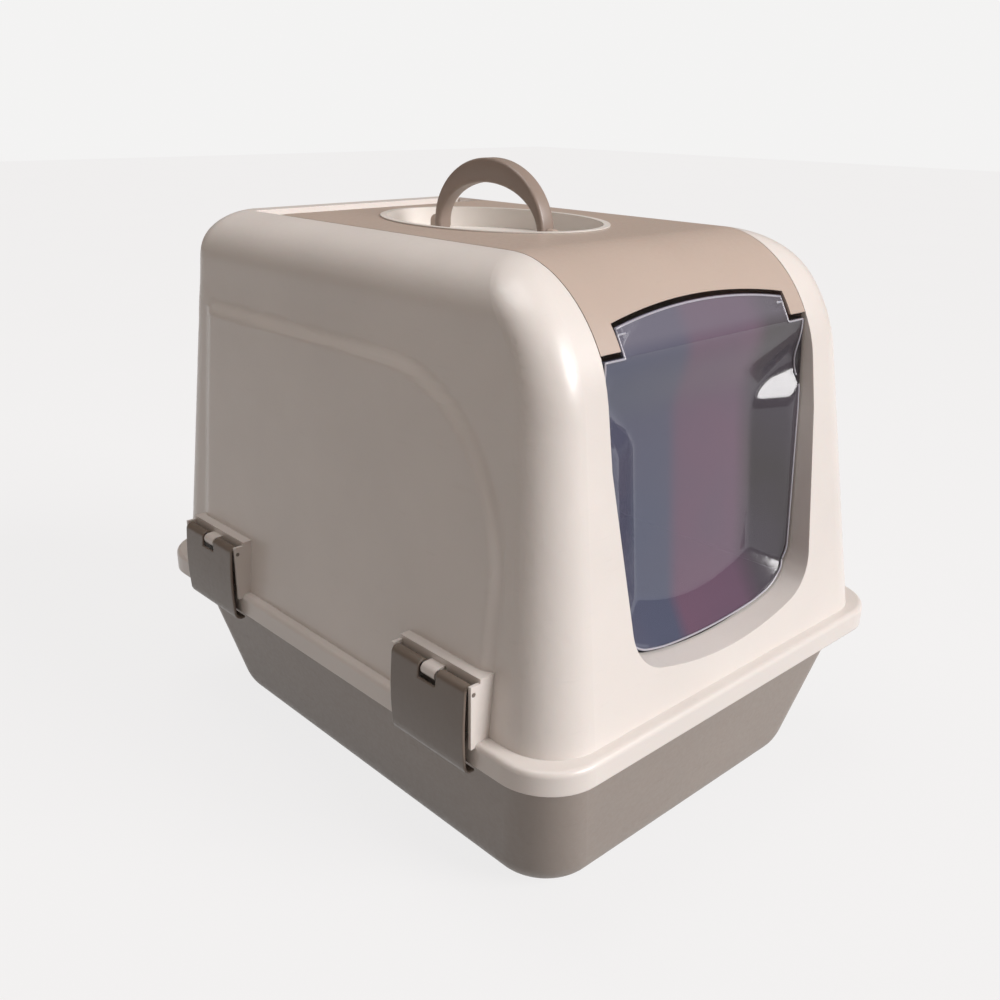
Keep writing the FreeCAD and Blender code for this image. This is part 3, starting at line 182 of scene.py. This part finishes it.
def smoke_sheet():
    """Clear smoke-tinted sheet: uneven tint, a painted reflection and shade running across it, a paler top
    strip, long fine scratches and slight waviness.
    """
    t = Tree("door_smoke")
    split = t.tree.nodes.new("ShaderNodeSeparateXYZ")
    t.link(t.place, split.inputs["Vector"])
    # painted reflection and shade: blue, then mauve, then a darker grey towards the right flank, run across
    # the sheet from left to right; the noise blends in the even smoke tint
    blue, mauve, grey = srgb(92, 98, 122), srgb(124, 96, 118), srgb(84, 80, 84)
    across = t.ramp(t.span(split.outputs["X"], -SHEET_HALF, SHEET_HALF, 0.0, 1.0),
                    [(0.05, blue), (0.36, blue), (0.42, mauve), (0.70, mauve), (0.80, grey), (1.0, grey)])
    drift = t.span(t.noise(12.0, 3.0), 0.35, 0.65, 0.0, 0.35)
    tint_with_painted_reflection = t.mix(drift, across, srgb(104, 98, 118))
    # paler along the top strip of the sheet, above about 0.38 m
    paler_top_strip = t.span(split.outputs["Z"], 0.380, 0.392, 0.0, 0.55)
    t.link(t.mix(paler_top_strip, tint_with_painted_reflection, srgb(150, 146, 160)), t.shader.inputs["Base Color"])
    scratch = t.span(t.noise(60.0, 6.0, 0.7, (1.0, 1.0, 12.0)), 0.62, 0.80, 0.0, 1.0)
    t.link(t.math("ADD", t.math("MULTIPLY", scratch, 0.10), 0.09), t.shader.inputs["Roughness"])
    t.link(t.bump(t.noise(7.0, 2.0, 0.4), 0.12, 0.0010), t.shader.inputs["Normal"])
    t.shader.inputs["IOR"].default_value = 1.52
    t.shader.inputs["Alpha"].default_value = 0.60
    t.shader.inputs["Coat Weight"].default_value = 0.5
    t.shader.inputs["Coat Roughness"].default_value = 0.05
    return t.material


DOOR = smoke_sheet()
# the bead's pale colour is a painted highlight along the door's rim
BEAD = moulded("door_bead_pale", (176, 174, 184), 0.2, 0.4)


def felt():
    t = Tree("carbon_felt")
    fuzz = t.noise(420.0, 6.0, 0.8)
    t.link(t.ramp(fuzz, [(0.3, srgb(24, 24, 25)), (0.75, srgb(62, 61, 60))]), t.shader.inputs["Base Color"])
    t.shader.inputs["Roughness"].default_value = 0.95
    t.shader.inputs["Sheen Weight"].default_value = 0.3
    t.link(t.bump(fuzz, 0.8, 0.0012), t.shader.inputs["Normal"])
    return t.material


CARBON = felt()

NODE_MATERIAL = {"tray": TRAY, "hood": HOOD, "lid": LID, "filter_cover": COVER, "carbon_filter": CARBON,
                 "filter_basket": BASKET, "carry_handle": HANDLE, "swing_door": DOOR}


def material_of(node):
    if node in NODE_MATERIAL:
        return NODE_MATERIAL[node]
    return PIN if "pin" in node else CLIP


for node_name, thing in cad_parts.items():
    thing.data.materials.clear()
    thing.data.materials.append(material_of(node_name))

# ---------------------------------------------------------------- refined pieces


def linked(name, mesh, body, node_name):
    """Puts a finished mesh in the scene in place of one CAD node."""
    piece = bpy.data.objects.new(name, mesh)
    bpy.context.scene.collection.objects.link(piece)
    mesh.materials.clear()
    mesh.materials.append(material_of(node_name))
    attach(piece, body)
    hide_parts(node_name)
    return piece


def smoothed(mesh, angle):
    """Shades the mesh smooth up to an angle in degrees between its faces."""
    mesh.shade_smooth()
    mesh.set_sharp_from_angle(angle=math.radians(angle))


def finished(bm, name, angle):
    """The bmesh as a mesh with outward faces and smooth shading."""
    bmesh.ops.recalc_face_normals(bm, faces=bm.faces)
    mesh = bpy.data.meshes.new(name)
    bm.to_mesh(mesh)
    bm.free()
    smoothed(mesh, angle)
    return mesh


def skinned(bm, rings):
    """Joins a row of rings, all with the same count of vertices, and closes both ends."""
    count = len(rings[0])
    for first, second in zip(rings, rings[1:]):
        for k in range(count):
            bm.faces.new((first[k], first[(k + 1) % count], second[(k + 1) % count], second[k]))
    bm.faces.new(rings[0])
    bm.faces.new(rings[-1][::-1])


def soften(piece, width):
    """Breaks the sharp edges with real geometry."""
    bevel = piece.modifiers.new("edges", "BEVEL")
    bevel.width = width
    bevel.segments = 2
    bevel.limit_method = "ANGLE"
    bevel.angle_limit = math.radians(35)
    bevel.use_clamp_overlap = True


def cad_bmesh(node_name):
    """A copy of a CAD node's mesh for reworking, joined along its surfaces' seams."""
    bm = bmesh.new()
    bm.from_mesh(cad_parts[node_name].data)
    bmesh.ops.remove_doubles(bm, verts=bm.verts, dist=2e-6)
    bm.normal_update()
    return bm


def mark(bm, wanted):
    """Marks the wanted faces by their material index, which every cut hands down."""
    for face in bm.faces:
        face.material_index = int(wanted(face))


def cut_into_grid(bm, axis, places):
    """Cuts the marked faces along planes square to one axis."""
    normal = [0, 0, 0]
    normal[axis] = 1
    for place in places:
        faces = []
        for face in bm.faces:
            if face.material_index == 1:
                along = [vert.co[axis] for vert in face.verts]
                if min(along) < place - 1e-6 and max(along) > place + 1e-6:
                    faces.append(face)
        if faces:
            edges = dict.fromkeys(edge for face in faces for edge in face.edges)
            verts = dict.fromkeys(vert for face in faces for vert in face.verts)
            point = [0, 0, 0]
            point[axis] = place
            bmesh.ops.bisect_plane(bm, geom=[*faces, *edges, *verts], plane_co=point, plane_no=normal,
                                   dist=1e-7)


def steps(low, high, step):
    """Places between two ends, about one step apart, without the ends."""
    count = max(1, round((high - low) / step))
    return [low + (high - low) * i / count for i in range(1, count)]


def ease(value):
    """0 below 0, 1 above 1 and a soft S between them."""
    value = min(1.0, max(0.0, value))
    return value * value * (3 - 2 * value)


# hood: a panel of each side wall stands out towards the back, behind a soft S-shaped step with a round corner
CELL = 0.003                                                # grid cells of the reworked faces
WALL_FOOT_HALF, WALL_TAPER, WALL_FOOT_Z = 0.188, 0.106, 0.141
WALL_TOP_Z = 0.396
WALL_FRONT_Y, WALL_BACK_Y = -0.204, 0.216
WALL_NEAR = 0.0012                                          # how near the plane a point counts as on it
PANEL_FRONT_Y, PANEL_TOP_Z, PANEL_ROUND = -0.183, 0.370, 0.125
PANEL_STEP, PANEL_RISE = 0.012, 0.0045                      # width and height of the step
PANEL_BACK_Y, PANEL_BACK_FADE = 0.193, 0.016                # the step runs out before the rear corner


def wall_half(z):
    """Half width of the hood over its side walls at a height."""
    return WALL_FOOT_HALF - WALL_TAPER * (z - WALL_FOOT_Z)


def near_wall(x, z):
    return abs(abs(x) - wall_half(z)) < WALL_NEAR


def panel_rise(y, z):
    """How far the side wall stands out at a point."""
    across, up = y - PANEL_FRONT_Y, PANEL_TOP_Z - z
    if across < PANEL_ROUND and up < PANEL_ROUND:
        inside = PANEL_ROUND - math.hypot(PANEL_ROUND - across, PANEL_ROUND - up)
    else:
        inside = min(across, up)
    return PANEL_RISE * ease(inside / PANEL_STEP + 0.5) * ease((PANEL_BACK_Y - y) / PANEL_BACK_FADE)


def on_side_wall(face):
    centre = face.calc_center_median()
    return abs(face.normal.x) > 0.93 and 0.142 < centre.z < 0.40 and near_wall(centre.x, centre.z)


def rounded_key(place):
    return tuple(round(c, 5) for c in place)


def moulded_normals(mesh, cad_mesh, panel_faces, old_places):
    """Keeps the CAD surfaces' own normals outside the side walls, which get smooth ones of their own."""
    known = {}
    for face in cad_mesh.polygons:
        for loop in face.loop_indices:
            place = cad_mesh.vertices[cad_mesh.loops[loop].vertex_index].co
            pair = (face.normal.copy(), cad_mesh.corner_normals[loop].vector.copy())
            known.setdefault(rounded_key(place), []).append(pair)
    smooth = {}
    for face in mesh.polygons:
        if face.index in panel_faces:
            for vertex in face.vertices:
                smooth[vertex] = smooth.get(vertex, Vector()) + face.normal * face.area
    alike = 0.9
    normals = [None] * len(mesh.loops)
    for face in mesh.polygons:
        for loop in face.loop_indices:
            vertex = mesh.loops[loop].vertex_index
            if face.index in panel_faces:
                normals[loop] = smooth[vertex].normalized()
                continue
            near = known.get(rounded_key(old_places[vertex]), [])
            best = max(near, key=lambda pair: pair[0].dot(face.normal), default=None)
            if best is not None and best[0].dot(face.normal) > alike:
                normals[loop] = best[1]
            elif vertex in smooth and smooth[vertex].normalized().dot(face.normal) > alike:
                normals[loop] = smooth[vertex].normalized()
            else:
                normals[loop] = face.normal.copy()
    mesh.shade_smooth()
    mesh.normals_split_custom_set([tuple(n) for n in normals])


def hood_shell():
    """The hood with the raised panel in both side walls."""
    bm = cad_bmesh("hood")
    mark(bm, on_side_wall)
    cut_into_grid(bm, 1, steps(WALL_FRONT_Y, WALL_BACK_Y, CELL))
    cut_into_grid(bm, 2, steps(0.142, WALL_TOP_Z, CELL))
    bm.faces.index_update()
    panel_faces = {face.index for face in bm.faces if face.material_index == 1}
    mark(bm, lambda face: False)
    old_places = [vert.co.copy() for vert in bm.verts]
    for vert in bm.verts:
        if near_wall(vert.co.x, vert.co.z) and vert.co.z > WALL_FOOT_Z + 0.0005:
            vert.co.x += math.copysign(panel_rise(vert.co.y, vert.co.z), vert.co.x)
    mesh = bpy.data.meshes.new("hood_shell")
    bm.to_mesh(mesh)
    bm.free()
    moulded_normals(mesh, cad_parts["hood"].data, panel_faces, old_places)
    return mesh


linked("hood_shell", hood_shell(), "hood", "hood")

# swing door: the thin sheet is dished, with a flat middle and folded flanks at the sides and the foot
DISH, FLANK = 0.014, 0.032                                  # depth of the middle and width of the flanks
MIDDLE_HALF, MIDDLE_FLARE = 0.067, 0.034                    # the flat middle, wider towards the top
FLARE_Z, FLARE_RUN = 0.318, 0.046
MIDDLE_FOOT_Z, FOOT_ARCH = 0.198, 0.011
SHEET_FOOT_Z, SHEET_TOP_Z, SHEET_SIDE = 0.168, 0.386, 0.110
BEAD_RADIUS, BEAD_PULL, BEAD_MIDDLE_Z = 0.0008, 0.990, 0.29


def middle_half(z):
    return MIDDLE_HALF + MIDDLE_FLARE * ease((z - FLARE_Z) / FLARE_RUN)


def dish(x, z):
    """How deep the sheet lies behind its rim at a point."""
    inside = min(middle_half(z) - abs(x), z - (MIDDLE_FOOT_Z + FOOT_ARCH * (x / 0.06) ** 2))
    return DISH * min(1.0, max(0.0, 1 + inside / FLANK)) * ease((0.383 - z) / 0.050)


def chained(edges):
    """The rows of points that the edges make, open or closed, in order."""
    joined = {}
    for edge in edges:
        for vert in edge.verts:
            joined.setdefault(vert, []).append(edge.other_vert(vert))
    rows, passed = [], set()
    for start in sorted(joined, key=lambda vert: (len(joined[vert]), vert.index)):
        if start in passed:
            continue
        row, current = [start.co.copy()], start
        passed.add(start)
        while True:
            onward = [v for v in joined[current] if v not in passed]
            if not onward:
                break
            current = onward[0]
            passed.add(current)
            row.append(current.co.copy())
        if len(row) > 2 and start in joined[current]:
            row.append(row[0].copy())
        rows.append(row)
    return rows


def door_sheet():
    """The dished door sheet, and the rows of points along its front rim."""
    bm = cad_bmesh("swing_door")
    mark(bm, lambda face: face.calc_center_median().z < 0.3875 and abs(face.normal.y) > 0.8)
    cut_into_grid(bm, 0, steps(-SHEET_SIDE, SHEET_SIDE, CELL))
    cut_into_grid(bm, 2, steps(SHEET_FOOT_Z, SHEET_TOP_Z, CELL))
    mark(bm, lambda face: False)
    for vert in bm.verts:
        if vert.co.z < SHEET_TOP_Z:
            vert.co.y += dish(vert.co.x, vert.co.z)
    bm.normal_update()
    bm.verts.index_update()
    rim = [edge for edge in bm.edges if len(edge.link_faces) == 2
           and min(face.normal.y for face in edge.link_faces) < -0.85
           and max(face.normal.y for face in edge.link_faces) > -0.4]
    rows = [row for row in chained(rim) if len(row) > 12]
    mesh = bpy.data.meshes.new("door_sheet")
    bm.to_mesh(mesh)
    bm.free()
    smoothed(mesh, 24)
    return mesh, rows


DOOR_MESH, RIM_ROWS = door_sheet()
linked("door_sheet", DOOR_MESH, "door", "swing_door")


def tube_along(name, points, radius, sides=8):
    """A thin bead of round section along a row of points."""
    bm = bmesh.new()
    turns = [2 * math.pi * k / sides for k in range(sides)]
    rings = []
    for index, point in enumerate(points):
        onward = points[min(index + 1, len(points) - 1)]
        before = points[max(index - 1, 0)]
        ahead = (onward - before).normalized()
        side = ahead.cross(Vector((0, 1, 0))).normalized()
        top = side.cross(ahead).normalized()
        rings.append([bm.verts.new(point + radius * (math.cos(a) * side + math.sin(a) * top)) for a in turns])
    skinned(bm, rings)
    return finished(bm, name, 50)


# the door's edge is a fine raised bead; it catches real light, and its pale colour is a painted highlight
# that draws a thin pale line along the rim
for index, row in enumerate(RIM_ROWS):
    pulled = [Vector((p.x * BEAD_PULL, p.y - 0.0002, BEAD_MIDDLE_Z + (p.z - BEAD_MIDDLE_Z) * BEAD_PULL))
              for p in row]
    bead_mesh = tube_along("door_bead_%d" % index, pulled, BEAD_RADIUS)
    bead_mesh.materials.append(BEAD)
    bead = bpy.data.objects.new("door_bead_%d" % index, bead_mesh)
    bpy.context.scene.collection.objects.link(bead)
    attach(bead, "door")

# handle: a crescent of rounded section, thick at the grip and thin at the two legs
HANDLE_Y, HANDLE_Z = 0.019, 0.4365
OUTER_HALF, OUTER_RISE, INNER_HALF, INNER_RISE = 0.064, 0.0535, 0.057, 0.035
HANDLE_WIDE, FOOT_ROUND, HANDLE_EDGE = 0.0070, 0.0076, 0.0026
FOOT_STATIONS, BOW_STATIONS = 7, 48


def section(half_wide, half_thick, round_by, count=6):
    """Points of a rounded rectangle, across and through the handle."""
    round_by = min(round_by, half_wide * 0.98, half_thick * 0.98)
    points = []
    for cx, cy, start in ((1, 1, 0), (-1, 1, 90), (-1, -1, 180), (1, -1, 270)):
        for k in range(count):
            a = math.radians(start + 90 * k / (count - 1))
            points.append((cx * (half_wide - round_by) + round_by * math.cos(a),
                           cy * (half_thick - round_by) + round_by * math.sin(a)))
    return points


def handle_mesh():
    """The crescent as a row of sections: up one round foot, over the bow and down the other foot."""
    bm = bmesh.new()
    feet = []
    for k in range(FOOT_STATIONS):
        fall = -FOOT_ROUND * math.cos(math.radians(90 * k / FOOT_STATIONS + 2))
        feet.append((fall, min(HANDLE_WIDE, math.sqrt(FOOT_ROUND ** 2 - fall ** 2))))
    stations = [(0.0, fall, wide) for fall, wide in feet]
    stations += [(math.pi * k / BOW_STATIONS, 0.0, HANDLE_WIDE) for k in range(BOW_STATIONS + 1)]
    stations += [(math.pi, fall, wide) for fall, wide in feet[::-1]]
    rings = []
    for turn, fall, half_wide in stations:
        outer = Vector((0, OUTER_HALF * math.cos(turn), OUTER_RISE * math.sin(turn)))
        inner = Vector((0, INNER_HALF * math.cos(turn), INNER_RISE * math.sin(turn)))
        middle = (outer + inner) / 2 + Vector((0, HANDLE_Y, HANDLE_Z + fall))
        through = (outer - inner) / 2
        rings.append([bm.verts.new(middle + Vector((across, 0, 0)) + through.normalized() * deep)
                      for across, deep in section(half_wide, through.length, HANDLE_EDGE)])
    skinned(bm, rings)
    return finished(bm, "handle_crescent", 40)


linked("handle_crescent", handle_mesh(), "handle", "carry_handle")

# clips: a rolled top on the pin, a slightly bowed plate and a toe that curls in under the skirt
CLIP_X, CLIP_Z, BARREL, BARREL_INSIDE = 0.201, 0.181, 0.005, 0.0028
CLIP_FOOT_Z, CLIP_TOE_X, CLIP_HALF, CLIP_THICK = 0.1206, 0.1973, 0.038, 0.0022
NOTCH_HALF, NOTCH_DEEP = 0.009, 0.0065
CLIP_CURL, CLIP_BOW, CLIP_EDGE, CLIP_Y = 0.0055, 0.0016, 0.0007, 0.146


def clip_profile():
    """Outer and inner line of the clip in the x-z plane, from rolled top to toe, and where the notch ends."""
    outer, inner = [], []
    for k in range(13):
        a = math.radians(215 - 215 * k / 12)
        outer.append((CLIP_X + BARREL * math.cos(a), CLIP_Z + BARREL * math.sin(a)))
        inner.append((CLIP_X + BARREL_INSIDE * math.cos(a), CLIP_Z + BARREL_INSIDE * math.sin(a)))
    notch_end = len(outer)
    face = CLIP_X + BARREL
    low, high = CLIP_FOOT_Z + CLIP_CURL, CLIP_Z - NOTCH_DEEP
    for k in range(13):
        z = high + (low - high) * k / 12
        bow = CLIP_BOW * math.sin(math.pi * (CLIP_Z - z) / (CLIP_Z - CLIP_FOOT_Z))
        outer.append((face + bow, z))
        inner.append((face + bow - CLIP_THICK, z))
    for k in range(1, 8):
        a = math.radians(90 * k / 7)
        for line, radius in ((outer, CLIP_CURL), (inner, CLIP_CURL - CLIP_THICK)):
            line.append((face - CLIP_CURL + radius * math.cos(a), low - radius * math.sin(a)))
    outer.append((CLIP_TOE_X, CLIP_FOOT_Z))
    inner.append((CLIP_TOE_X, CLIP_FOOT_Z + CLIP_THICK))
    return outer, inner, notch_end


def clip_mesh(name, middle, side):
    """The clip's two skins as a grid of cells with the notch left out, closed along every open edge."""
    bm = bmesh.new()
    outer, inner, notch_end = clip_profile()
    stations = (-CLIP_HALF, -NOTCH_HALF, NOTCH_HALF, CLIP_HALF)
    grid = {}
    for layer, line in (("outer", outer), ("inner", inner)):
        for k, (x, z) in enumerate(line):
            for j, y in enumerate(stations):
                grid[layer, k, j] = bm.verts.new((side * x, middle + y, z))
    cells = {(k, j) for k in range(len(outer) - 1) for j in range(3) if not (j == 1 and k < notch_end)}
    for k, j in sorted(cells):
        corners = [(k, j), (k + 1, j), (k + 1, j + 1), (k, j + 1)]
        beyond = [(k, j - 1), (k + 1, j), (k, j + 1), (k - 1, j)]
        for layer in ("outer", "inner"):
            bm.faces.new([grid[layer, a, b] for a, b in corners])
        for n in range(4):
            if beyond[n] not in cells:
                first, second = corners[n], corners[(n + 1) % 4]
                bm.faces.new((grid["outer", *first], grid["outer", *second],
                              grid["inner", *second], grid["inner", *first]))
    bmesh.ops.delete(bm, geom=[v for v in bm.verts if not v.link_faces], context="VERTS")
    return finished(bm, name, 35)


for place, middle in (("front", -CLIP_Y), ("rear", CLIP_Y)):
    for hand, side in (("right", 1), ("left", -1)):
        node_name = "clip_%s_%s" % (place, hand)
        name = node_name + "_formed"
        shaped = linked(name, clip_mesh(name, middle, side), node_name, node_name)
        soften(shaped, CLIP_EDGE)

# ---------------------------------------------------------------- stage

floor_mesh = bpy.data.meshes.new("floor")
floor_mesh.from_pydata([(-9, -9, 0), (9, -9, 0), (9, 9, 0), (-9, 9, 0)], [], [(0, 1, 2, 3)])
floor = bpy.data.objects.new("floor", floor_mesh)
bpy.context.scene.collection.objects.link(floor)
floor_tree = Tree("floor_pale")
pale = floor_tree.ramp(floor_tree.noise(3.0, 3.0), [(0.3, srgb(170, 168, 166)), (0.7, srgb(174, 172, 170))])
floor_tree.link(pale, floor_tree.shader.inputs["Base Color"])
floor_tree.shader.inputs["Roughness"].default_value = 0.9
glow = floor_tree.tree.nodes.new("ShaderNodeEmission")
glow.inputs["Color"].default_value = (*srgb(244, 243, 243), 1.0)
glow.inputs["Strength"].default_value = 1.13
blend = floor_tree.tree.nodes.new("ShaderNodeMixShader")
path = floor_tree.tree.nodes.new("ShaderNodeLightPath")
looked_at = floor_tree.math("MAXIMUM", path.outputs["Is Camera Ray"], path.outputs["Is Glossy Ray"])
floor_tree.link(floor_tree.math("MULTIPLY", looked_at, 0.80), blend.inputs[0])
floor_tree.link(floor_tree.shader.outputs["BSDF"], blend.inputs[1])
floor_tree.link(glow.outputs["Emission"], blend.inputs[2])
floor_tree.link(blend.outputs["Shader"], floor_tree.output.inputs["Surface"])
floor_mesh.materials.append(floor_tree.material)

world = bpy.data.worlds.new("studio")
bpy.context.scene.world = world
world.use_nodes = True
studio = world.node_tree
seen = studio.nodes["Background"]
seen.inputs["Color"].default_value = (1.0, 0.995, 0.99, 1.0)
seen.inputs["Strength"].default_value = 0.90
fill = studio.nodes.new("ShaderNodeBackground")
fill.inputs["Color"].default_value = (1.0, 0.82, 0.69, 1.0)
fill.inputs["Strength"].default_value = 0.20
chooser = studio.nodes.new("ShaderNodeMixShader")
studio.links.new(studio.nodes.new("ShaderNodeLightPath").outputs["Is Camera Ray"], chooser.inputs[0])
studio.links.new(fill.outputs["Background"], chooser.inputs[1])
studio.links.new(seen.outputs["Background"], chooser.inputs[2])
studio.links.new(chooser.outputs["Shader"], studio.nodes["World Output"].inputs["Surface"])


def lamp(name, kind, place, aim, power, **options):
    data = bpy.data.lights.new(name, kind)
    data.energy = power
    for key, value in options.items():
        setattr(data, key, value)
    thing = bpy.data.objects.new(name, data)
    thing.location = place
    thing.rotation_euler = (Vector(aim) - Vector(place)).to_track_quat("-Z", "Y").to_euler()
    bpy.context.scene.collection.objects.link(thing)


lamp("key", "SUN", (0.75, -1.9, 1.25), (0, 0, 0.2), 2.85, angle=math.radians(28), color=(1.0, 0.985, 0.985))
lamp("window", "AREA", (1.3, -1.5, 1.5), (0, -0.1, 0.28), 4, shape="RECTANGLE", size=0.5, size_y=1.0)
lamp("ceiling", "AREA", (-0.25, 0.1, 2.3), (0, 0.0, 0.3), 15, shape="RECTANGLE", size=1.3, size_y=1.3)

# ---------------------------------------------------------------- camera

AZIMUTH, ELEVATION, ROLL = math.radians(-43.11), math.radians(20.89), math.radians(0.68)
back = Vector((math.sin(AZIMUTH) * math.cos(ELEVATION), -math.cos(AZIMUTH) * math.cos(ELEVATION),
               math.sin(ELEVATION)))
level = (-back).cross(Vector((0, 0, 1))).normalized()
upward = level.cross(-back)
right = level * math.cos(ROLL) + upward * math.sin(ROLL)
above = -level * math.sin(ROLL) + upward * math.cos(ROLL)
camera_data = bpy.data.cameras.new("camera")
camera_data.sensor_width = 36
camera_data.lens = 37.77
camera = bpy.data.objects.new("camera", camera_data)
bpy.context.scene.collection.objects.link(camera)
turn = Matrix((right, above, back)).transposed().to_4x4()
camera.matrix_world = Matrix.Translation(Vector((12.69, 19, 199.97)) * MM + back * 0.93224) @ turn
bpy.context.scene.camera = camera
bpy.context.scene.view_settings.view_transform = "Standard"
